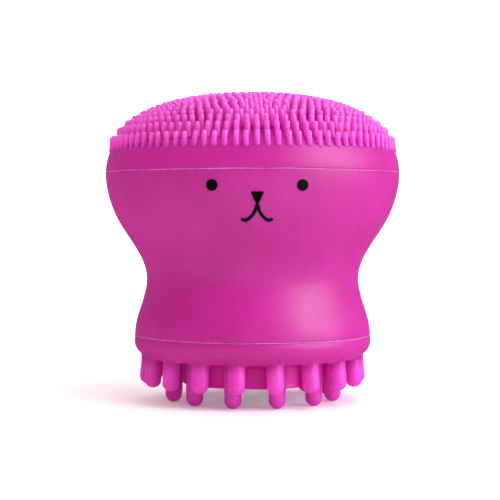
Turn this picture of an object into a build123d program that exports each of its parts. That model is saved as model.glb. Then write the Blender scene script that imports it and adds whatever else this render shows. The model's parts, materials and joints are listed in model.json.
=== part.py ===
from build123d import *
import math
import os

# A hand-held facial cleansing brush in soft silicone. A domed field of fine bristles is on top, a hollow
# waisted body in the middle is the grip, and two rows of massage fingers round a foam sponge are below.
# Millimetres. Z is the brush's own axis and Z = 0 the surface that it stands on. The face looks along -Y.

# Heights of the joins between the three mouldings, and of the flash that each join leaves
TOP_SEAM_Z = 38.65
BASE_SEAM_Z = 11.15
FLASH_PROUD = 0.12
FLASH_H = 0.1

# Waisted body: outer radius and height down its side, then its bore
BODY_R = 25.0
BASE_R = 20.06
WAIST_R = 18.1
WAIST_Z = 21.3
SIDE = [(19.25, 15.4), (WAIST_R, WAIST_Z), (20.22, 26.4), (23.17, 31.15), (24.76, 35.9)]
WAIST_BORE_R = 15.1
TOP_BORE_R = 22.0
BASE_BORE_R = 17.1
SPIGOT_H = 1.6
SPIGOT_GAP = 0.05

# Brush cap: the shoulder above the upper join
SHOULDER_R = 24.37
SHOULDER_Z = 42.0
SHOULDER_ROUND = 9.2
CAP_WALL = 2.6
LOCATING_R = 19.0
LOCATING_DEPTH = 0.8

# Bristle pad: rings of bristles on terraces that climb to the middle, under a domed line of tips. The
# outermost rings share their angles; further in, every second ring is turned by half a pitch.
PAD_FLOOR_Z = 42.3
FLOOR_RISE = 7.0
FLOOR_R = 24.0
FLOOR_POWER = 0.7
TIP_BASE_Z = 40.7
TIP_RISE = 11.6
TIP_R = 25.2
TIP_POWER = 2.5
FIRST_RING_R = 23.95
RING_PITCH = 1.26
RING_COUNTS = (90, 90, 90, 77, 77, 77, 63, 63, 63, 48, 48, 48, 34, 34, 24, 24, 14, 9, 5, 1)
FIRST_STAGGERED = 3
BRISTLE_FOOT_R = 0.48
BRISTLE_TIP_R = 0.4
BRISTLE_SUNK = 0.2

# Finger base: rolled edge, underside, and the collar that holds the sponge
EDGE_R = 19.2
EDGE_Z = 8.2
EDGE_ROUND = 3.2
RIM_R = 17.6
RIM_ROUND = 2.0
UNDERSIDE_Z = 7.4
COLLAR_R = 12.0
COLLAR_Z = 3.0
COLLAR_CHAMFER = 0.35
CUP_R = 11.9
CUP_TOP_Z = 14.3
SPONGE_BORE_R = 10.3
SPONGE_BORE_TOP_Z = 12.8

# Foam sponge
SPONGE_R = 10.1
SPONGE_TOP_Z = 12.5
SPONGE_EDGE = 0.8
SPONGE_CROWN = 0.4

# Massage fingers: each bends about a ball root, which sits in a shallow socket in the finger base
SOCKET_GAP = 0.05
ROOT_DROP = 0.6
NECK = 0.9
OUTER_COUNT = 18
OUTER_ROOT_R = 17.65
OUTER_SPLAY = 5.0
OUTER_FINGER_R = 1.4
OUTER_TIP_Z = 2.7
OUTER_TIP_FLAT_R = 0.2
INNER_COUNT = 12
INNER_ROOT_R = 13.9
INNER_FINGER_R = 1.4
INNER_TIP_FLAT_R = 0.5
BALL_PROUD = 0.05
ROOT_Z = UNDERSIDE_Z - ROOT_DROP

# Printed face: ink that follows the body's side
INK = 0.05
EYE_R = 0.9
EYE_X = 7.04
EYE_Z = 36.1
NOSE_W = 2.2
NOSE_TOP_Z = 35.1
NOSE_TIP_Z = 32.8
NOSE_ROUND = 0.18
STROKE = 0.52
LIP_SPLIT_Z = 33.1
LIP_MID = (0.62, 31.6)
LIP_LOW = (1.75, 30.62)
LIP_END = (2.26, 30.76)


def revolved(section):
    """A solid of revolution about Z from a closed half section in the XZ plane."""
    return revolve(section.sketch, axis=Axis.Z)


def on_circle(radius, height, degrees):
    """A point at an angle from the front, counted anticlockwise as seen from above."""
    turn = math.radians(degrees)
    return (radius * math.sin(turn), -radius * math.cos(turn), height)


def floor_height(radius):
    """Height of the pad's floor, a flattened dome, at a radius."""
    inside = max(0.0, 1 - (radius / FLOOR_R) ** 2)
    return PAD_FLOOR_Z + FLOOR_RISE * inside**FLOOR_POWER


def tip_height(radius):
    """Height of the bristles' tips at a radius."""
    return TIP_BASE_Z + TIP_RISE * math.sqrt(1 - (radius / TIP_R) ** TIP_POWER)


def bristle(length):
    """One tapered bristle with a rounded tip, standing on the XY plane and rooted a little below it."""
    with BuildSketch(Plane.XZ) as section:
        with BuildLine():
            Line((0, -BRISTLE_SUNK), (BRISTLE_FOOT_R, -BRISTLE_SUNK))
            Line((BRISTLE_FOOT_R, -BRISTLE_SUNK), (BRISTLE_TIP_R, length - BRISTLE_TIP_R))
            RadiusArc((BRISTLE_TIP_R, length - BRISTLE_TIP_R), (0, length), -BRISTLE_TIP_R)
            Line((0, length), (0, -BRISTLE_SUNK))
        make_face()
    return revolved(section)


def pad_outline(radii):
    """Half section of the pad: a locating boss below, and one level terrace for each ring above."""
    points = [
        (0, SHOULDER_Z - LOCATING_DEPTH),
        (LOCATING_R, SHOULDER_Z - LOCATING_DEPTH),
        (LOCATING_R, SHOULDER_Z),
        (SHOULDER_R, SHOULDER_Z),
        (SHOULDER_R, floor_height(radii[0])),
    ]
    for ring, radius in enumerate(radii[:-1]):
        edge = (radius + radii[ring + 1]) / 2
        points.append((edge, floor_height(radius)))
        points.append((edge, floor_height(radii[ring + 1])))
    points.append((0, floor_height(radii[-1])))
    return points


def bristle_pad():
    """The pad with every ring of bristles standing on it, moulded in one."""
    radii = [FIRST_RING_R - RING_PITCH * ring for ring in range(len(RING_COUNTS) - 1)] + [0.0]
    with BuildSketch(Plane.XZ) as section:
        with BuildLine():
            Polyline(*pad_outline(radii), close=True)
        make_face()
    bristles = []
    for ring, (radius, count) in enumerate(zip(radii, RING_COUNTS)):
        floor = floor_height(radius)
        one = bristle(tip_height(radius) - floor)
        shift = 0.5 if ring >= FIRST_STAGGERED and ring % 2 else 0.0
        for turn in range(count):
            place = on_circle(radius, floor, 360 * (turn + shift) / count)
            bristles.append(one.moved(Location(place)))
    return revolved(section).fuse(*bristles)


def brush_cap():
    """The shoulder ring and deck that carry the bristle pad, with a spigot down into the body."""
    bore = TOP_BORE_R - SPIGOT_GAP
    deck = SHOULDER_Z - LOCATING_DEPTH
    inner = bore - CAP_WALL
    with BuildSketch(Plane.XZ) as section:
        with BuildLine():
            RadiusArc((BODY_R, TOP_SEAM_Z), (SHOULDER_R, SHOULDER_Z), -SHOULDER_ROUND)
            Polyline(
                (SHOULDER_R, SHOULDER_Z),
                (LOCATING_R, SHOULDER_Z),
                (LOCATING_R, deck),
                (0, deck),
                (0, deck - CAP_WALL / 2),
                (inner - CAP_WALL / 2, deck - CAP_WALL / 2),
                (inner, TOP_SEAM_Z),
                (inner, TOP_SEAM_Z - SPIGOT_H),
                (bore, TOP_SEAM_Z - SPIGOT_H),
                (bore, TOP_SEAM_Z),
                (BODY_R, TOP_SEAM_Z),
            )
        make_face()
    return revolved(section)


def side_line(skin=0.0):
    """The body's outer line, from the lower join up to the upper join, a skin's thickness out."""
    points = [(radius + skin, z) for radius, z in [(BASE_R, BASE_SEAM_Z), *SIDE, (BODY_R, TOP_SEAM_Z)]]
    return Spline(*points, tangents=[(0, 1), (0, 1)])


def full_body(skin=0.0):
    """The body's outside as a solid bar, a skin's thickness larger all round."""
    with BuildSketch(Plane.XZ) as section:
        with BuildLine():
            side = side_line(skin)
            Polyline(side @ 1, (0, TOP_SEAM_Z), (0, BASE_SEAM_Z), side @ 0)
        make_face()
    return revolved(section)


def flash_lip(radius, seam_z, side):
    """The thin ring of flash that the moulds leave beside a join, above it or below it."""
    with BuildSketch(Plane.XZ) as section:
        with BuildLine():
            Polyline(
                (radius - FLASH_PROUD, seam_z),
                (radius + FLASH_PROUD, seam_z),
                (radius + FLASH_PROUD, seam_z + side * FLASH_H / 2),
                (radius - FLASH_PROUD, seam_z + side * 2 * FLASH_H),
                close=True,
            )
        make_face()
    return revolved(section)


def body_bore():
    """The hollow inside the body, which follows its waist and is straight where the spigots enter."""
    spigot_top = BASE_SEAM_Z + SPIGOT_H
    spigot_bottom = TOP_SEAM_Z - SPIGOT_H
    with BuildSketch(Plane.XZ) as section:
        with BuildLine():
            Line((BASE_BORE_R, BASE_SEAM_Z), (BASE_BORE_R, spigot_top))
            Spline(
                (BASE_BORE_R, spigot_top),
                (WAIST_BORE_R, WAIST_Z),
                (TOP_BORE_R, spigot_bottom),
                tangents=[(0, 1), (0, 1)],
            )
            Polyline(
                (TOP_BORE_R, spigot_bottom),
                (TOP_BORE_R, TOP_SEAM_Z),
                (0, TOP_SEAM_Z),
                (0, BASE_SEAM_Z),
                (BASE_BORE_R, BASE_SEAM_Z),
            )
        make_face()
    return revolved(section)


def body_shell():
    """The hollow waisted grip, with flash at both of its joins."""
    shell = full_body() + flash_lip(BODY_R, TOP_SEAM_Z, -1) + flash_lip(BASE_R, BASE_SEAM_Z, 1)
    return shell - body_bore()


def base_blank():
    """The finger base before its sockets: edge, underside, collar, and the cup over the sponge."""
    spigot_r = BASE_BORE_R - SPIGOT_GAP
    with BuildSketch(Plane.XZ) as section:
        with BuildLine():
            RadiusArc((BASE_R, BASE_SEAM_Z), (EDGE_R, EDGE_Z), EDGE_ROUND)
            RadiusArc((EDGE_R, EDGE_Z), (RIM_R, UNDERSIDE_Z), RIM_ROUND)
            Polyline(
                (RIM_R, UNDERSIDE_Z),
                (COLLAR_R, UNDERSIDE_Z),
                (COLLAR_R, COLLAR_Z + COLLAR_CHAMFER),
                (COLLAR_R - COLLAR_CHAMFER, COLLAR_Z),
                (SPONGE_BORE_R, COLLAR_Z),
                (SPONGE_BORE_R, SPONGE_BORE_TOP_Z),
                (0, SPONGE_BORE_TOP_Z),
                (0, CUP_TOP_Z),
                (CUP_R, CUP_TOP_Z),
                (CUP_R, BASE_SEAM_Z + SPIGOT_H),
                (spigot_r, BASE_SEAM_Z + SPIGOT_H),
                (spigot_r, BASE_SEAM_Z),
                (BASE_R, BASE_SEAM_Z),
            )
        make_face()
    return revolved(section)


def finger_places(count, radius):
    """Root centres of one row of fingers, with each finger's angle from the front."""
    step = 360 / count
    angles = [step / 2 + step * k for k in range(count)]
    return [(on_circle(radius, ROOT_Z, angle), angle) for angle in angles]


def finger_base(outer, inner):
    """The base with a shallow ball socket for each finger."""
    sockets = []
    for place, _ in outer:
        sockets.append(Sphere(OUTER_FINGER_R + BALL_PROUD + SOCKET_GAP).moved(Location(place)))
    for place, _ in inner:
        sockets.append(Sphere(INNER_FINGER_R + BALL_PROUD + SOCKET_GAP).moved(Location(place)))
    return base_blank().cut(*sockets)


def finger(radius, length, flat_r):
    """One finger hanging from its ball root at the origin, with a small flat on its rounded tip."""
    ball_r = radius + BALL_PROUD
    dome = math.sqrt(radius**2 - flat_r**2)
    with BuildSketch(Plane.XZ) as section:
        with BuildLine():
            RadiusArc((0, ball_r), (ball_r, 0), ball_r)
            Line((ball_r, 0), (radius, -NECK))
            Line((radius, -NECK), (radius, dome - length))
            RadiusArc((radius, dome - length), (flat_r, -length), radius)
            Polyline((flat_r, -length), (0, -length), (0, ball_r))
        make_face()
    return revolved(section)


def finger_row(name, places, radius, length, flat_r, splay):
    """Every finger of one row as a node of its own, leaning outward by the splay angle."""
    one = finger(radius, length, flat_r)
    nodes = {}
    for number, (place, angle) in enumerate(places, start=1):
        turned = Location(place, (0, 0, angle)) * Location((0, 0, 0), (-splay, 0, 0))
        nodes[f"{name}_{number:02d}"] = one.moved(turned)
    return nodes


def foam_sponge():
    """The round foam plug in the collar, with a rounded, slightly crowned face."""
    with BuildSketch(Plane.XZ) as section:
        with BuildLine():
            ThreePointArc(
                (SPONGE_EDGE - SPONGE_R, COLLAR_Z),
                (0, COLLAR_Z - SPONGE_CROWN),
                (SPONGE_R - SPONGE_EDGE, COLLAR_Z),
            )
            RadiusArc(
                (SPONGE_R - SPONGE_EDGE, COLLAR_Z), (SPONGE_R, COLLAR_Z + SPONGE_EDGE), -SPONGE_EDGE
            )
            Polyline(
                (SPONGE_R, COLLAR_Z + SPONGE_EDGE),
                (SPONGE_R, SPONGE_TOP_Z),
                (-SPONGE_R, SPONGE_TOP_Z),
                (-SPONGE_R, COLLAR_Z + SPONGE_EDGE),
            )
            RadiusArc(
                (-SPONGE_R, COLLAR_Z + SPONGE_EDGE), (SPONGE_EDGE - SPONGE_R, COLLAR_Z), -SPONGE_EDGE
            )
        make_face()
        split(bisect_by=Plane.YZ)
    return revolved(section)


def inked(shape, skin):
    """A flat outline in the XZ plane, laid on the front of the body as a thin layer of ink."""
    return extrude(shape, amount=2 * BODY_R) & skin


def mouth_outline():
    """Two strokes that leave the nose together, part, and end level to each side."""
    with BuildSketch(Plane.XZ) as outline:
        for side in (-1, 1):
            mirrored = [(side * x, z) for x, z in ((0.1, LIP_SPLIT_Z), LIP_MID, LIP_LOW, LIP_END)]
            with BuildLine():
                ThreePointArc(*mirrored[:3])
                Line(mirrored[2], mirrored[3])
            trace(line_width=STROKE)
            with Locations(mirrored[2], mirrored[3]):
                Circle(STROKE / 2)
    return outline.sketch


def nose_outline():
    """A rounded triangle, point down."""
    with BuildSketch(Plane.XZ) as outline:
        with BuildLine():
            Polyline(
                (-NOSE_W / 2, NOSE_TOP_Z), (NOSE_W / 2, NOSE_TOP_Z), (0, NOSE_TIP_Z), close=True
            )
        make_face()
        fillet(outline.vertices(), NOSE_ROUND)
    return outline.sketch


def printed_face():
    """Two round eyes, a nose and a mouth, each a node of its own."""
    skin = full_body(INK) - full_body()
    with BuildSketch(Plane.XZ) as left:
        with Locations((-EYE_X, EYE_Z)):
            Circle(EYE_R)
    with BuildSketch(Plane.XZ) as right:
        with Locations((EYE_X, EYE_Z)):
            Circle(EYE_R)
    return {
        "left_eye": inked(left.sketch, skin),
        "right_eye": inked(right.sketch, skin),
        "nose": inked(nose_outline(), skin),
        "mouth": inked(mouth_outline() - nose_outline(), skin),
    }


def main():
    outer = finger_places(OUTER_COUNT, OUTER_ROOT_R)
    inner = finger_places(INNER_COUNT, INNER_ROOT_R)
    outer_length = (ROOT_Z - OUTER_TIP_Z) / math.cos(math.radians(OUTER_SPLAY))
    nodes = {
        "bristle_pad": bristle_pad(),
        "brush_cap": brush_cap(),
        "body_shell": body_shell(),
        "finger_base": finger_base(outer, inner),
        "foam_sponge": foam_sponge(),
    }
    nodes.update(
        finger_row(
            "outer_finger", outer, OUTER_FINGER_R, outer_length, OUTER_TIP_FLAT_R, OUTER_SPLAY
        )
    )
    nodes.update(
        finger_row("inner_finger", inner, INNER_FINGER_R, ROOT_Z, INNER_TIP_FLAT_R, 0.0)
    )
    nodes.update(printed_face())
    os.makedirs("parts", exist_ok=True)
    for node, shape in nodes.items():
        export_step(shape, f"parts/{node}.step")


main()
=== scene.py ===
import json
import math
import random

import bpy
import bmesh
import numpy as np
from mathutils import Matrix, Vector, noise


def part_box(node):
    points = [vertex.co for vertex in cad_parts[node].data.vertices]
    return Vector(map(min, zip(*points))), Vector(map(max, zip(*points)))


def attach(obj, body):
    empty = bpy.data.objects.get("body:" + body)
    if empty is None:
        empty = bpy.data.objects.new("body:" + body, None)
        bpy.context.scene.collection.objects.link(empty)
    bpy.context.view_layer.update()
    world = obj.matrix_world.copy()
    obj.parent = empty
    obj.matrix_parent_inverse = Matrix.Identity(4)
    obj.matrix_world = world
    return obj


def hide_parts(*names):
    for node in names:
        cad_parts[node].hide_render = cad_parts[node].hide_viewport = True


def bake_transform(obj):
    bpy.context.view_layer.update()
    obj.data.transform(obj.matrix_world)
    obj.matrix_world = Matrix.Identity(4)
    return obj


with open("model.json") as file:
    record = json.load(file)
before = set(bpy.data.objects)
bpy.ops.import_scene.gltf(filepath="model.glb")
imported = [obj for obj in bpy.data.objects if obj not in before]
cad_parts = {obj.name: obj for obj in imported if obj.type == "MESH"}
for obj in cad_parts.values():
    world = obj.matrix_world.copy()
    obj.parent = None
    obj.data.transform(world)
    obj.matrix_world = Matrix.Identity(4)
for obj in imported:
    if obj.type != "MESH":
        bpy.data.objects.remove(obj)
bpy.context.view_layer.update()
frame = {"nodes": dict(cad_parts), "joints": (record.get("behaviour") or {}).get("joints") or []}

# The looks of a silicone facial cleansing brush. Outlines are in millimetres and become metres when a mesh is
# made. Z is the brush's own axis, Z = 0 the floor, and the printed face looks along -Y.

MM = 0.001
BODY = "brush_body"


def box(node):
    """A CAD node's lowest and highest corners in millimetres."""
    return [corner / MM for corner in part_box(node)]


# Heights and radii that the frame gives, in millimetres
shell_low, shell_high = box("body_shell")
cap_high = box("brush_cap")[1]
base_low, base_high = box("finger_base")
pad_high = box("bristle_pad")[1]
sponge_low, sponge_high = box("foam_sponge")
BASE_SEAM_Z = shell_low.z
TOP_SEAM_Z = shell_high.z
BODY_R = cap_high.x
SHOULDER_Z = cap_high.z
COLLAR_Z = base_low.z

# The rest of the brush's shape, in millimetres and degrees. The body's bore is widest at its shoulder, and
# the cap's deck closes it from above.
BASE_R = 20.06
WAIST_R = 18.1
WALL = 3.0
BORE_SHOULDER_Z = 35.5
BORE_SHOULDER_ROUND = 3.0
BORE_WAIST_Z = 21.5
BORE_WAIST_ROUND = 8.0
SHOULDER_R = 24.37
SHOULDER_ROUND = 9.2
DECK = 2.0
EDGE_R = 19.2
EDGE_Z = 8.2
EDGE_ROUND = 2.5
SEAM_STEP = 0.11
RIM_R = 17.6
RIM_ROUND = 2.0
UNDERSIDE_Z = 7.4
COLLAR_R = 12.0
COLLAR_ROUND = 1.2
SPONGE_BORE_R = 10.3
SPONGE_BORE_TOP_Z = 12.8
CUP_WALL = 1.5
OUTER_SPLAY = 5.0
FINGER_R = 1.4
ROOT_FILLET = 0.5
# How far below the underside a finger's painted root shade fades out
ROOT_SHADE_FADE = 1.6

# Where the base's underside and collar take a painted glow, a deeper and brighter magenta standing in for
# light that comes through the silicone: from this far inside its edge, over this width, and below this
# height over the underside
PAINTED_GLOW_INSET = 0.3
PAINTED_GLOW_FADE = 2.0
PAINTED_GLOW_ABOVE = 0.8

# The bristles: rings from the outside in, on a domed floor and under a domed line of tips
PAD_FLOOR_Z = 42.3
FLOOR_RISE = 7.0
FLOOR_R = 24.0
FLOOR_POWER = 0.7
TIP_BASE_Z = 40.7
TIP_RISE = pad_high.z - TIP_BASE_Z
TIP_R = 25.2
TIP_POWER = 2.5
FIRST_RING_R = 23.95
RING_PITCH = 1.26
RING_COUNTS = (90, 90, 90, 77, 77, 77, 63, 63, 63, 48, 48, 48, 34, 34, 24, 24, 14, 9, 5, 1)
FIRST_STAGGERED = 3
BRISTLE_SIDES = 12

# How far a bristle strays: share of its ring's pitch, radius, and degrees of lean
STRAY_TURN = 0.05
STRAY_R = 0.03
STRAY_LEAN = 1.2

# The camera: focal length, then distance, height, turn about the brush and where it aims
CAMERA_LENS = 105.12
CAMERA_AWAY = 250.0
CAMERA_Z = 31.15
CAMERA_TURN = -1.75
CAMERA_AIM_SIDE = -0.43
CAMERA_AIM_Z = 25.5

# The flash at the joins: how thick it is, how much that varies, how thin it may get, how far it stands out,
# and the height of body beside a join that isn't read from the CAD because its flash is there
FLASH_THICK = 0.062
FLASH_WAVE = 0.05
FLASH_JITTER = 0.006
FLASH_THIN = 0.020
FLASH_PROUD = 0.02
FLASH_ROOM = 0.35

# How true the mouldings are: how far their skin wanders and over what length, in millimetres, and the share
# of its thickness by which a finger varies
SKIN_WANDER = 0.012
SKIN_WAVE = 9.0
FINGER_SWELL = 0.012

# Columns round a turned piece, the longest step along its outline, the step where it isn't seen, and both
# on the base, whose skin has to follow every finger's fillet
COLUMNS = 360
STEP = 0.5
HIDDEN_STEP = 1.5
BASE_COLUMNS = 720
BASE_STEP = 0.2


# ---------------------------------------------------------------- meshes

def mesh_object(name, points, faces, material):
    """A smooth-shaded object from points in millimetres."""
    mesh = bpy.data.meshes.new(name)
    mesh.from_pydata((np.asarray(points) * MM).tolist(), [], faces)
    mesh.materials.append(material)
    made = bmesh.new()
    made.from_mesh(mesh)
    bmesh.ops.recalc_face_normals(made, faces=made.faces)
    made.to_mesh(mesh)
    made.free()
    mesh.shade_smooth()
    obj = bpy.data.objects.new(name, mesh)
    bpy.context.scene.collection.objects.link(obj)
    return obj


def store(obj, name, values):
    """Keeps one number per point on the mesh, for its material to read."""
    attribute = obj.data.attributes.new(name, "FLOAT", "POINT")
    attribute.data.foreach_set("value", np.asarray(values, np.float32))


def rounded(corners, step=STEP):
    """A dense line through (r, z, round) corners.

    Where round is over 0, the corner becomes a soft bead. It starts where an arc of that radius would, goes
    through the corner itself, and stands proud of each side by an eighth of the way from start to corner.
    """
    ends = [np.array(c[:2], float) for c in corners]
    line = [ends[0]]
    for before, here, after, corner in zip(ends, ends[1:], ends[2:], corners[1:]):
        into, out = here - before, after - here
        into, out = into / np.linalg.norm(into), out / np.linalg.norm(out)
        turn = math.acos(max(-1.0, min(1.0, float(into @ out))))
        if corner[2] <= 0 or turn < 0.01:
            line.append(here)
            continue
        cut = corner[2] * math.tan(turn / 2)
        start, end = here - into * cut, here + out * cut
        for t in np.linspace(0, 1, max(3, int(turn / 0.14) + 2)):
            side = (1 - t) * (start + into * cut * 2 * t) + t * (end - out * cut * 2 * (1 - t))
            line.append(side)
    line.append(ends[-1])
    dense = [line[0]]
    for a, b in zip(line, line[1:]):
        parts = max(1, math.ceil(np.linalg.norm(b - a) / step))
        dense += [a + (b - a) * k / parts for k in range(1, parts + 1)]
    return np.array(dense)


def bulge(start, end, radius, parts=14):
    """(r, z, 0) corners along the outward arc of a radius between two (r, z) points."""
    a, b = np.array(start, float), np.array(end, float)
    along = (b - a) / np.linalg.norm(b - a)
    away = np.array([-along[1], along[0]])
    away = away if away[0] < 0 else -away
    half = np.linalg.norm(b - a) / 2
    centre = (a + b) / 2 + away * math.sqrt(radius**2 - half**2)
    first = math.atan2(*(a - centre)[::-1])
    last = math.atan2(*(b - centre)[::-1])
    turns = np.linspace(first, last, parts)
    return [(centre[0] + radius * math.cos(t), centre[1] + radius * math.sin(t), 0) for t in turns]


def turned(outline, columns=COLUMNS, loop=False):
    """Points and faces of an outline turned about Z. A row on the axis becomes a single point."""
    angles = np.linspace(0, 2 * math.pi, columns, endpoint=False)
    ring = np.stack([np.sin(angles), -np.cos(angles)], axis=1)
    points, rows = [], []
    for radius, z in outline:
        first = len(points)
        if radius < 1e-6:
            points.append((0, 0, z))
            rows.append([first] * columns)
        else:
            points += [(radius * x, radius * y, z) for x, y in ring]
            rows.append(list(range(first, first + columns)))
    faces = []
    pairs = list(zip(rows, rows[1:])) + ([(rows[-1], rows[0])] if loop else [])
    for upper, lower in pairs:
        for k in range(columns):
            n = (k + 1) % columns
            face = list(dict.fromkeys([upper[k], lower[k], lower[n], upper[n]]))
            if len(face) > 2:
                faces.append(face)
    return np.array(points, float), faces


def uneven(points, height, size, seed):
    """Moves points outward or inward by a little smooth noise, as soft mouldings are never quite true."""
    shift = Vector((seed * 7.3, seed * 3.1, seed * 5.7))
    radius = np.maximum(np.hypot(points[:, 0], points[:, 1]), 1e-6)
    push = np.array([noise.noise(Vector(p) / size + shift) for p in points]) * height
    moved = points.copy()
    moved[:, 0] += points[:, 0] / radius * push
    moved[:, 1] += points[:, 1] / radius * push
    return moved


def outer_line(node, low, high):
    """The radius of a turned CAD node's outward face at each height where it has points."""
    mesh = frame["nodes"][node].data
    places = np.array([v.co for v in mesh.vertices]) / MM
    normals = np.array([v.normal for v in mesh.vertices])
    outward = (places[:, :2] * normals[:, :2]).sum(axis=1) > 0
    places = places[outward]
    radius, z = np.hypot(places[:, 0], places[:, 1]), places[:, 2]
    heights = np.unique(np.round(z, 3))
    line = []
    for height in heights[(heights >= low) & (heights <= high)]:
        line.append((radius[np.abs(z - height) < 0.002].max(), height))
    return np.array(line)


def smooth_line(line, heights):
    """A smooth curve through (r, z) points, read at other heights."""
    z, r = line[:, 1], line[:, 0]
    slope = np.gradient(r, z)
    cell = np.clip(np.searchsorted(z, heights) - 1, 0, len(z) - 2)
    width = z[cell + 1] - z[cell]
    t = (heights - z[cell]) / width
    a = (1 + 2 * t) * (1 - t) ** 2 * r[cell] + t * (1 - t) ** 2 * width * slope[cell]
    b = t * t * (3 - 2 * t) * r[cell + 1] + t * t * (t - 1) * width * slope[cell + 1]
    return a + b


# ---------------------------------------------------------------- materials

def socket(node, name, value):
    node.inputs[name].default_value = value


def linear(r, g, b):
    """An sRGB colour from 0 to 255 as linear light."""
    channels = [c / 255 for c in (r, g, b)]
    return [c / 12.92 if c <= 0.04045 else ((c + 0.055) / 1.055) ** 2.4 for c in channels] + [1.0]


class Shader:
    """A material's node tree, with short calls for the nodes that the finishes share."""

    def __init__(self, name):
        self.material = bpy.data.materials.new(name)
        self.material.use_nodes = True
        self.tree = self.material.node_tree
        self.surface = self.tree.nodes["Principled BSDF"]
        self.place = self.add("ShaderNodeTexCoord").outputs["Object"]

    def add(self, kind, **values):
        node = self.tree.nodes.new(kind)
        for name, value in values.items():
            setattr(node, name, value)
        return node

    def link(self, output, target):
        self.tree.links.new(output, target)

    def noise(self, scale, detail=3.0, roughness=0.55):
        node = self.add("ShaderNodeTexNoise")
        socket(node, "Scale", scale)
        socket(node, "Detail", detail)
        socket(node, "Roughness", roughness)
        self.link(self.place, node.inputs["Vector"])
        return node.outputs["Fac"]

    def cells(self, scale):
        node = self.add("ShaderNodeTexVoronoi", feature="F1")
        socket(node, "Scale", scale)
        self.link(self.place, node.inputs["Vector"])
        return node.outputs["Distance"]

    def between(self, value, low, high, to_low=0.0, to_high=1.0):
        node = self.add("ShaderNodeMapRange")
        socket(node, "From Min", low)
        socket(node, "From Max", high)
        socket(node, "To Min", to_low)
        socket(node, "To Max", to_high)
        self.link(value, node.inputs["Value"])
        return node.outputs["Result"]

    def times(self, a, b):
        node = self.add("ShaderNodeMath", operation="MULTIPLY")
        self.link(a, node.inputs[0])
        if isinstance(b, float):
            node.inputs[1].default_value = b
        else:
            self.link(b, node.inputs[1])
        return node.outputs[0]

    def mix(self, share, a, b):
        node = self.add("ShaderNodeMix", data_type="RGBA")
        self.link(share, node.inputs[0])
        for index, colour in ((6, a), (7, b)):
            if isinstance(colour, list):
                node.inputs[index].default_value = colour
            else:
                self.link(colour, node.inputs[index])
        return node.outputs[2]

    def bump(self, height, strength, distance, under=None):
        node = self.add("ShaderNodeBump")
        socket(node, "Strength", strength)
        socket(node, "Distance", distance)
        self.link(height, node.inputs["Height"])
        if under is not None:
            self.link(under, node.inputs["Normal"])
        return node.outputs["Normal"]


def silicone(name, deep, body, pale, roughness, glow, dust=0.35):
    """Matt tinted silicone: cloudy colour, a fine grain, stray dust, and light that soaks in a little."""
    shader = Shader(name)
    cloud = shader.between(shader.noise(90.0, 4.0), 0.35, 0.65)
    colour = shader.mix(cloud, deep, body)
    grain = shader.between(shader.noise(2600.0, 2.0), 0.45, 0.75, 0.0, 0.22)
    colour = shader.mix(grain, colour, pale)
    specks = shader.between(shader.cells(420.0), 0.05, 0.11, 1.0, 0.0)
    sparse = shader.between(shader.noise(260.0, 1.0), 0.60, 0.68)
    colour = shader.mix(shader.times(shader.times(specks, sparse), dust), colour, pale)
    shader.link(colour, shader.surface.inputs["Base Color"])
    rough = shader.between(shader.noise(320.0, 3.0), 0.3, 0.7, roughness - 0.05, roughness + 0.06)
    shader.link(rough, shader.surface.inputs["Roughness"])
    soft = shader.bump(shader.noise(160.0, 2.0), 0.12, 0.0004)
    fine = shader.bump(shader.noise(3800.0, 2.0), 0.16, 0.00004, soft)
    shader.link(fine, shader.surface.inputs["Normal"])
    socket(shader.surface, "Subsurface Weight", glow)
    socket(shader.surface, "Subsurface Radius", (1.0, 0.25, 0.6))
    socket(shader.surface, "Subsurface Scale", 0.0022)
    socket(shader.surface, "IOR", 1.41)
    socket(shader.surface, "Specular IOR Level", 0.95)
    socket(shader.surface, "Sheen Weight", 0.08)
    socket(shader.surface, "Sheen Roughness", 0.45)
    socket(shader.surface, "Sheen Tint", linear(255, 190, 235))
    return shader


def bristle_silicone():
    """The bristles' silicone: painted shade low between the bristles and a painted highlight towards each
    thin tip.
    """
    shader = silicone(
        "bristle_silicone", linear(228, 68, 186), linear(236, 80, 196), linear(246, 132, 218), 0.42, 0.75
    )
    rise = shader.add("ShaderNodeAttribute", attribute_name="rise").outputs["Fac"]
    tone = shader.add("ShaderNodeAttribute", attribute_name="tone").outputs["Fac"]
    cloudy = shader.surface.inputs["Base Color"].links[0].from_socket
    # painted shade: a deeper magenta low between the bristles, where they shade each other
    low = shader.mix(shader.between(rise, 0.02, 0.45), linear(232, 52, 180), cloudy)
    # painted highlight: paler towards each lit tip
    lit = shader.mix(shader.between(rise, 0.45, 1.0, 0.0, 0.6), low, linear(250, 128, 222))
    varied = shader.mix(shader.times(tone, 0.25), lit, linear(206, 44, 158))
    shader.link(varied, shader.surface.inputs["Base Color"])
    socket(shader.surface, "Subsurface Scale", 0.0034)
    return shader.material


def finger_silicone():
    """The fingers' silicone: the body's colour at the root as painted shade under the base, paler further
    down.
    """
    shader = silicone(
        "finger_silicone", linear(218, 50, 182), linear(230, 62, 196), linear(242, 114, 214), 0.42, 0.6
    )
    reach = shader.add("ShaderNodeAttribute", attribute_name="reach").outputs["Fac"]
    cloudy = shader.surface.inputs["Base Color"].links[0].from_socket
    # painted shade: each finger darker at its root under the base, fading out as reach grows
    colour = shader.mix(reach, linear(194, 29, 146), cloudy)
    shader.link(colour, shader.surface.inputs["Base Color"])
    return shader.material


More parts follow.
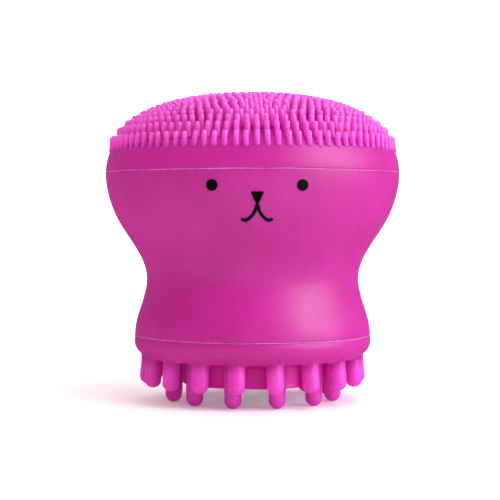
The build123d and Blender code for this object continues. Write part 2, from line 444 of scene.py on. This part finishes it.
def base_silicone():
    """The base's silicone, with a painted glow on its collar and underside for light that comes through it.
    """
    shader = silicone("base_silicone", *BODY_TONES, 0.47, 0.5)
    painted_glow = shader.add("ShaderNodeAttribute", attribute_name="painted_glow").outputs["Fac"]
    cloudy = shader.surface.inputs["Base Color"].links[0].from_socket
    # painted glow: a deeper, brighter magenta on the collar and underside, standing in for light through the
    # silicone
    colour = shader.mix(painted_glow, cloudy, linear(236, 8, 182))
    shader.link(colour, shader.surface.inputs["Base Color"])
    return shader.material


def flash_silicone_painted_highlight():
    """The thin flash at the joins: silicone painted paler than the body's, as a highlight along the bead."""
    return silicone(
        "flash_silicone_painted_highlight", linear(240, 104, 204), linear(248, 124, 216), linear(252, 168, 230), 0.5, 0.3
    ).material


def foam():
    """Open-cell foam: pale, with pores of two sizes painted darker as the shade inside them."""
    shader = Shader("sponge_foam")
    pores = shader.between(shader.cells(1500.0), 0.25, 0.6)
    small = shader.between(shader.cells(3600.0), 0.2, 0.55)
    web = shader.times(pores, small)
    cloud = shader.between(shader.noise(200.0, 3.0), 0.35, 0.65)
    cream = shader.mix(cloud, linear(240, 214, 226), linear(248, 232, 238))
    # painted shade: the pores darker than the cream foam around them
    colour = shader.mix(web, linear(196, 140, 168), cream)
    shader.link(colour, shader.surface.inputs["Base Color"])
    rough = shader.between(web, 0.0, 1.0, 0.98, 0.86)
    shader.link(rough, shader.surface.inputs["Roughness"])
    shader.link(shader.bump(web, 0.7, 0.0002), shader.surface.inputs["Normal"])
    socket(shader.surface, "Subsurface Weight", 0.25)
    socket(shader.surface, "Subsurface Radius", (1.0, 0.7, 0.8))
    socket(shader.surface, "Subsurface Scale", 0.0008)
    return shader.material


def ink():
    """Printed black ink: nearly flat, with the silicone's grain showing through and worn dots."""
    shader = Shader("face_ink")
    grain = shader.between(shader.noise(2400.0, 3.0), 0.4, 0.7)
    colour = shader.mix(grain, linear(6, 6, 8), linear(14, 11, 14))
    worn = shader.between(shader.noise(5200.0, 1.0), 0.74, 0.8, 0.0, 0.4)
    colour = shader.mix(worn, colour, linear(70, 20, 50))
    shader.link(colour, shader.surface.inputs["Base Color"])
    rough = shader.between(grain, 0.0, 1.0, 0.5, 0.65)
    shader.link(rough, shader.surface.inputs["Roughness"])
    shader.link(shader.bump(shader.noise(3800.0, 2.0), 0.2, 0.00003), shader.surface.inputs["Normal"])
    socket(shader.surface, "Specular IOR Level", 0.2)
    return shader.material


# The tones of the body's silicone: deep, general and at its grain
BODY_TONES = linear(184, 15, 135), linear(195, 19, 149), linear(219, 64, 185)
MAGENTA = silicone("body_silicone", *BODY_TONES, 0.47, 0.5).material
BASE = base_silicone()
FINGER = finger_silicone()
BRISTLE = bristle_silicone()
# The flash is painted paler than the body, as a highlight along the bead
FLASH_PAINTED_HIGHLIGHT = flash_silicone_painted_highlight()
FOAM = foam()
INK = ink()


# ---------------------------------------------------------------- mouldings

def finished(obj, slot, *nodes):
    """A piece that rides on the brush's body, in place of its CAD nodes."""
    if nodes:
        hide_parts(*nodes)
    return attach(obj, BODY)


def body_skin():
    """The waisted body: the CAD's own outer line outside, and the wall's inside face within."""
    read = outer_line("body_shell", BASE_SEAM_Z + FLASH_ROOM, TOP_SEAM_Z - FLASH_ROOM)
    ends = np.array([[BASE_R, BASE_SEAM_Z], [BODY_R, TOP_SEAM_Z]])
    line = np.vstack([ends[:1], read, ends[1:]])
    heights = np.linspace(BASE_SEAM_Z, TOP_SEAM_Z, round((TOP_SEAM_Z - BASE_SEAM_Z) / 0.25) + 1)
    outside = np.stack([smooth_line(line, heights), heights], axis=1)
    inside = rounded(
        [
            (BODY_R - WALL, TOP_SEAM_Z, 0),
            (BODY_R - WALL, BORE_SHOULDER_Z, BORE_SHOULDER_ROUND),
            (WAIST_R - WALL, BORE_WAIST_Z, BORE_WAIST_ROUND),
            (BASE_R - WALL, BASE_SEAM_Z, 0),
        ],
        step=HIDDEN_STEP,
    )
    points, faces = turned(np.vstack([outside, inside]), loop=True)
    obj = mesh_object("body_skin", uneven(points, SKIN_WANDER, SKIN_WAVE, 1), faces, MAGENTA)
    return finished(obj, "body_silicone", "body_shell")


def flash_line(name, radius, z, seed):
    """A ragged bead of flash round a join: thin, uneven, and never quite level."""
    pick = random.Random(seed)
    columns, sides = 1440, 8
    phases = [pick.uniform(0, 2 * math.pi) for _ in range(6)]
    points, faces = [], []
    for k in range(columns):
        angle = 2 * math.pi * k / columns
        wave = sum(math.sin(angle * n + p) for n, p in zip((3, 7, 13, 29, 61, 97), phases)) / 6
        jitter = pick.uniform(-FLASH_JITTER, FLASH_JITTER)
        thick = max(FLASH_THIN, FLASH_THICK + FLASH_WAVE * wave + jitter)
        level = z + 0.03 * math.sin(angle * 5 + phases[0]) + 0.02 * math.sin(angle * 17 + phases[1])
        for s in range(sides):
            turn = 2 * math.pi * s / sides
            r = radius + FLASH_PROUD + thick * math.cos(turn)
            points.append((r * math.sin(angle), -r * math.cos(angle), level + 0.9 * thick * math.sin(turn)))
    for k in range(columns):
        n = (k + 1) % columns
        for s in range(sides):
            t = (s + 1) % sides
            faces.append([k * sides + s, k * sides + t, n * sides + t, n * sides + s])
    return finished(mesh_object(name, points, faces, FLASH_PAINTED_HIGHLIGHT), "body_silicone")


def cap_shoulder():
    """The shoulder above the upper join, rolled in gently at its top edge."""
    corners = bulge((BODY_R, TOP_SEAM_Z), (SHOULDER_R, SHOULDER_Z), SHOULDER_ROUND) + [
        (SHOULDER_R - 0.1, PAD_FLOOR_Z + 0.02, 0.2),
        (SHOULDER_R - 0.6, PAD_FLOOR_Z + 0.12, 0.2),
        (SHOULDER_R - 0.9, SHOULDER_Z - 0.2, 0),
        (0, SHOULDER_Z - 0.2, 0),
    ]
    under = [
        (0, SHOULDER_Z - DECK, 0),
        (BODY_R - WALL - DECK, SHOULDER_Z - DECK, 1.0),
        (BODY_R - WALL, TOP_SEAM_Z, 0),
    ]
    line = np.vstack([rounded(corners), rounded(under, step=HIDDEN_STEP)])
    points, faces = turned(line, loop=True)
    obj = mesh_object("cap_shoulder", uneven(points, SKIN_WANDER, SKIN_WAVE, 2), faces, MAGENTA)
    return finished(obj, "body_silicone", "brush_cap")


# ---------------------------------------------------------------- bristles

def floor_height(radius):
    inside = np.maximum(0.0, 1 - (np.asarray(radius, float) / FLOOR_R) ** 2)
    return PAD_FLOOR_Z + FLOOR_RISE * inside**FLOOR_POWER


def tip_height(radius):
    return TIP_BASE_Z + TIP_RISE * math.sqrt(1 - (radius / TIP_R) ** TIP_POWER)


def one_bristle(length, sides):
    """A bristle standing on z = 0: a flared foot, a taper and a round tip, with how far up each point is."""
    shape = [(0.50, -0.35), (0.53, 0.02), (0.49, 0.22), (0.455, 0.50)]
    shape += [(0.435, length * 0.55), (0.41, length - 0.42)]
    shape += [(0.365, length - 0.21), (0.24, length - 0.06)]
    angles = np.linspace(0, 2 * math.pi, sides, endpoint=False)
    points = [(r * math.cos(a), r * math.sin(a), z) for r, z in shape for a in angles]
    points.append((0, 0, length))
    faces = []
    for row in range(len(shape) - 1):
        for s in range(sides):
            t = (s + 1) % sides
            faces.append([row * sides + s, row * sides + t, (row + 1) * sides + t, (row + 1) * sides + s])
    last = (len(shape) - 1) * sides
    faces += [[last + s, last + (s + 1) % sides, len(points) - 1] for s in range(sides)]
    faces.append(list(range(sides))[::-1])
    points = np.array(points)
    return points, faces, np.clip(points[:, 2] / length, 0, 1)


def bristle_field():
    """The domed floor and every bristle on it, each leaning, turned and tall by its own small amount."""
    pick = random.Random(11)
    rim = SHOULDER_R - 0.4
    floor_line = [(rim, SHOULDER_Z - 0.12)]
    floor_line += [(r, float(floor_height(r))) for r in rim * np.cos(np.linspace(0, math.pi / 2, 60))]
    floor_line.append((0, SHOULDER_Z - 0.12))
    points, faces = turned(floor_line, loop=True)
    all_points, all_faces = [points], list(faces)
    rise, tone = [np.zeros(len(points))], [np.zeros(len(points))]
    count = len(points)
    radii = [FIRST_RING_R - RING_PITCH * ring for ring in range(len(RING_COUNTS) - 1)] + [0.0]
    for ring, (radius, number) in enumerate(zip(radii, RING_COUNTS)):
        shift = 0.5 if ring >= FIRST_STAGGERED and ring % 2 else 0.0
        for turn in range(number):
            angle = 2 * math.pi * (turn + shift + pick.uniform(-STRAY_TURN, STRAY_TURN)) / number
            reach = abs(radius + pick.uniform(-STRAY_R, STRAY_R))
            floor = float(floor_height(reach))
            length = tip_height(min(reach, FIRST_RING_R)) - floor + pick.uniform(-0.10, 0.04)
            shape, its_faces, up = one_bristle(length, BRISTLE_SIDES)
            lean = Matrix.Rotation(math.radians(pick.gauss(0, STRAY_LEAN)), 3, "X")
            lean = Matrix.Rotation(math.radians(pick.gauss(0, STRAY_LEAN)), 3, "Y") @ lean
            spin = Matrix.Rotation(angle, 3, "Z")
            placed = shape @ np.array(spin @ lean).T
            placed += (reach * math.sin(angle), -reach * math.cos(angle), floor)
            all_points.append(placed)
            all_faces += [[count + i for i in face] for face in its_faces]
            count += len(placed)
            rise.append(up)
            tone.append(np.full(len(placed), pick.random()))
    obj = mesh_object("bristle_field", np.vstack(all_points), all_faces, BRISTLE)
    store(obj, "rise", np.concatenate(rise))
    store(obj, "tone", np.concatenate(tone))
    return finished(obj, "bristle_silicone", "bristle_pad")


# ---------------------------------------------------------------- base and fingers

def row_of_fingers(kind):
    """Each finger's body name, root centre, and downward direction, read from the frame's joints."""
    found = []
    for joint in frame["joints"]:
        if joint["name"].startswith(kind + "_bend"):
            body = joint["child"]
            root = Vector(joint["pos_m"]) / MM
            low, high = (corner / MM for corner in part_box(body))
            out = Vector((root.x, root.y, 0)).normalized()
            lean = math.radians(OUTER_SPLAY if kind == "outer" else 0.0)
            down = out * math.sin(lean) - Vector((0, 0, math.cos(lean)))
            length = (root.z - low.z) / math.cos(lean)
            found.append((body, root, down, length))
    return found


def with_fillets(points, fingers):
    """Draws the base's skin down round each finger's root, as a fillet that meets the finger's side."""
    moved = points.copy()
    for _, root, down, _ in fingers:
        axis, centre = np.array(down), np.array(root)
        away = points - centre
        along = away @ axis
        across = np.linalg.norm(away - np.outer(along, axis), axis=1)
        near = (across < FINGER_R + ROOT_FILLET) & (along < 1.0) & (along > -3.0)
        gap = np.clip(ROOT_FILLET - (across - FINGER_R), 0, ROOT_FILLET)
        drop = ROOT_FILLET - np.sqrt(ROOT_FILLET**2 - np.minimum(gap, ROOT_FILLET * 0.999) ** 2)
        moved[near] += np.outer(drop[near], axis)
    return moved


def base_moulding(outer, inner):
    """The base: its rolled edge, the underside with a fillet at every finger, and the collar."""
    skin = rounded(
        bulge((BASE_R - SEAM_STEP, BASE_SEAM_Z), (EDGE_R, EDGE_Z), EDGE_ROUND)
        + bulge((EDGE_R, EDGE_Z), (RIM_R, UNDERSIDE_Z), RIM_ROUND)[1:]
        + [
            (COLLAR_R, UNDERSIDE_Z, COLLAR_ROUND),
            (COLLAR_R, COLLAR_Z, 0.5),
            (SPONGE_BORE_R, COLLAR_Z, 0.3),
            (SPONGE_BORE_R, COLLAR_Z + 1, 0),
        ],
        step=BASE_STEP,
    )
    inner_line = rounded(
        [
            (SPONGE_BORE_R, COLLAR_Z + 1.5, 0),
            (SPONGE_BORE_R, SPONGE_BORE_TOP_Z, 0.4),
            (0, SPONGE_BORE_TOP_Z, 0),
            (0, base_high.z, 0),
            (SPONGE_BORE_R + CUP_WALL, base_high.z, 0.5),
            (SPONGE_BORE_R + CUP_WALL, BASE_SEAM_Z, 0),
        ],
        step=1.2,
    )
    points, faces = turned(np.vstack([skin, inner_line]), columns=BASE_COLUMNS, loop=True)
    points = uneven(points, SKIN_WANDER, SKIN_WAVE, 3)
    points = with_fillets(points, outer + inner)
    obj = mesh_object("base_moulding", points, faces, BASE)
    # The collar and underside take the painted glow, fading in from just inside the base's edge
    inward = (EDGE_R - PAINTED_GLOW_INSET - np.hypot(points[:, 0], points[:, 1])) / PAINTED_GLOW_FADE
    store(obj, "painted_glow", np.clip(inward, 0, 1) * (points[:, 2] < UNDERSIDE_Z + PAINTED_GLOW_ABOVE))
    return finished(obj, "body_silicone", "finger_base")


def finger_skin(body, root, down, length, seed):
    """One soft finger, from inside the base to its rounded tip."""
    pick = random.Random(seed)
    above, shoulder = 1.25, 0.3
    dome = FINGER_R * 0.93
    line = [(0, above), (FINGER_R * 0.8, above), (FINGER_R, above - shoulder)]
    for t in np.linspace(0.3, length - dome + above - 0.5, 18):
        line.append((FINGER_R * (1 + FINGER_SWELL * math.sin(3 * t)), above - shoulder - t))
    for turn in np.linspace(0, math.pi / 2, 9):
        line.append((FINGER_R * math.cos(turn), -(length - dome) - dome * math.sin(turn)))
    line[-1] = (0, -length)
    points, faces = turned(line, columns=36)
    swell = 1 + FINGER_SWELL * pick.uniform(-1, 1)
    points[:, :2] *= swell
    turn = Vector((0, 0, -1)).rotation_difference(down).to_matrix()
    points = points @ np.array(turn).T + np.array(root)
    obj = mesh_object(body + "_skin", points, faces, FINGER)
    # reach: how far a point is below the underside, over which the finger's painted root shade fades out
    store(obj, "reach", np.clip((UNDERSIDE_Z - points[:, 2]) / ROOT_SHADE_FADE, 0, 1))
    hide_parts(body)
    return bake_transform(obj)


def sponge():
    """The foam plug, with a crowned face and a pitted skin."""
    radius, crown = sponge_high.x, 0.4
    low = sponge_low.z + crown
    line = rounded(
        [(0, sponge_low.z, 0)]
        + [(radius * t, sponge_low.z + crown * t * t, 0) for t in (0.25, 0.5, 0.75)]
        + [(radius, low, 0.8), (radius, sponge_high.z, 0.3), (0, sponge_high.z, 0)],
        step=0.3,
    )
    points, faces = turned(line, columns=220)
    pits = np.array([noise.cell(Vector(p) * 1.9) for p in points])
    holes = np.array([noise.noise(Vector(p) * 1.6) for p in points])
    depth = np.clip(0.05 + 0.16 * holes + 0.05 * pits, 0, 0.25)
    inside = points - np.array([0, 0, (low + sponge_high.z) / 2])
    inside /= np.maximum(np.linalg.norm(inside, axis=1, keepdims=True), 1e-6)
    obj = mesh_object("sponge_foam_plug", points - inside * depth[:, None], faces, FOAM)
    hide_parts("foam_sponge")
    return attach(obj, "sponge")


# ---------------------------------------------------------------- the stage

def far_wall():
    """A pale wall all round the floor's far edge, so that low views from any side end in white."""
    radius, high, columns = 3.0, 1.4, 96
    points = []
    for k in range(columns):
        angle = 2 * math.pi * k / columns
        points += [(radius * math.cos(angle), radius * math.sin(angle), z) for z in (-0.01, high)]
    faces = []
    for k in range(columns):
        n = (k + 1) % columns
        faces.append([2 * k, 2 * n, 2 * n + 1, 2 * k + 1])
    mesh = bpy.data.meshes.new("far_wall")
    mesh.from_pydata(points, [], faces)
    obj = bpy.data.objects.new("far_wall", mesh)
    bpy.context.scene.collection.objects.link(obj)
    shader = Shader("pale_wall")
    colour = shader.mix(shader.noise(0.6), linear(250, 250, 250), linear(255, 255, 255))
    shader.link(colour, shader.surface.inputs["Emission Color"])
    socket(shader.surface, "Emission Strength", 0.9)
    socket(shader.surface, "Base Color", (0, 0, 0, 1))
    mesh.materials.append(shader.material)
    obj.visible_glossy = False
    obj.visible_diffuse = False


def floor():
    """A pale floor that curves up far behind into a backdrop, and glows where it is far from the lights."""
    half, back, high, bend = 3.2, 1.2, 1.4, 0.5
    profile = [(-half, 0.0)] + [(y, 0.0) for y in np.linspace(-0.6, back - bend, 6)]
    for turn in np.linspace(0, math.pi / 2, 12)[1:]:
        profile.append((back - bend + bend * math.sin(turn), bend - bend * math.cos(turn)))
    profile.append((back, high))
    mesh = bpy.data.meshes.new("floor")
    points = [(x, y, z) for y, z in profile for x in (-half, half)]
    faces = [[2 * k, 2 * k + 1, 2 * k + 3, 2 * k + 2] for k in range(len(profile) - 1)]
    mesh.from_pydata(points, [], faces)
    mesh.shade_smooth()
    obj = bpy.data.objects.new("floor", mesh)
    bpy.context.scene.collection.objects.link(obj)
    shader = Shader("pale_floor")
    colour = shader.mix(shader.noise(8.0), linear(246, 245, 246), linear(252, 252, 252))
    shader.link(colour, shader.surface.inputs["Base Color"])
    socket(shader.surface, "Roughness", 0.85)
    socket(shader.surface, "Emission Color", (1, 1, 1, 1))
    away = shader.add("ShaderNodeVectorMath", operation="LENGTH")
    shader.link(shader.place, away.inputs[0])
    glow = shader.between(away.outputs["Value"], 1.1, 1.9, 0.14, 0.85)
    shader.link(glow, shader.surface.inputs["Emission Strength"])
    mesh.materials.append(shader.material)
    obj.visible_glossy = False


def light(name, place, size, power, aim=(0, 0, 0.028), colour=(1, 1, 1), glossy=False):
    lamp = bpy.data.lights.new(name, "AREA")
    lamp.shape = "DISK"
    lamp.size = size
    lamp.energy = power
    lamp.color = colour
    obj = bpy.data.objects.new(name, lamp)
    obj.location = place
    obj.visible_glossy = glossy
    obj.rotation_euler = (Vector(aim) - Vector(place)).to_track_quat("-Z", "Y").to_euler()
    bpy.context.scene.collection.objects.link(obj)


def lights():
    light("side", (1.00, -0.48, 0.50), 1.00, 12.6, colour=(0.98, 1.0, 1.10), glossy=True)
    light("front", (0.28, -0.58, 1.05), 0.60, 4.6, colour=(1.0, 0.95, 0.93))
    light("top", (0.10, 0.10, 1.20), 0.90, 4.4)
    light("left", (-0.75, -0.50, 0.82), 0.80, 3.7, colour=(1.0, 0.80, 0.72))
    light("backdrop", (0, 0.45, 0.55), 0.60, 9.0, aim=(0, 1.6, 0.35))
    world = bpy.data.worlds.new("studio")
    bpy.context.scene.world = world
    world.use_nodes = True
    background = world.node_tree.nodes["Background"]
    background.inputs["Color"].default_value = (1, 1, 1, 1)
    background.inputs["Strength"].default_value = 0.2
    world.cycles_visibility.glossy = False
    bpy.context.scene.view_settings.view_transform = "Standard"


def camera():
    """A short telephoto view from a little above the brush's middle, nearly level."""
    lens = bpy.data.cameras.new("camera")
    lens.sensor_width = 36.0
    lens.lens = CAMERA_LENS
    lens.clip_start = 0.01
    obj = bpy.data.objects.new("camera", lens)
    around = math.radians(CAMERA_TURN)
    out = Vector((math.sin(around), -math.cos(around), 0))
    right = Vector((-out.y, out.x, 0))
    obj.location = (out * CAMERA_AWAY + Vector((0, 0, CAMERA_Z))) * MM
    target = (right * CAMERA_AIM_SIDE + Vector((0, 0, CAMERA_AIM_Z))) * MM
    obj.rotation_euler = (target - obj.location).to_track_quat("-Z", "Y").to_euler()
    bpy.context.scene.collection.objects.link(obj)
    bpy.context.scene.camera = obj


def main():
    camera()
    outer = row_of_fingers("outer")
    inner = row_of_fingers("inner")
    body_skin()
    cap_shoulder()
    flash_line("upper_flash", BODY_R, TOP_SEAM_Z, 21)
    flash_line("lower_flash", BASE_R, BASE_SEAM_Z, 22)
    bristle_field()
    base_moulding(outer, inner)
    for number, (body, root, down, length) in enumerate(outer + inner):
        finger_skin(body, root, down, length, 100 + number)
    sponge()
    for node in ("left_eye", "right_eye", "nose", "mouth"):
        frame["nodes"][node].data.materials[0] = INK
    floor()
    far_wall()
    lights()


main()
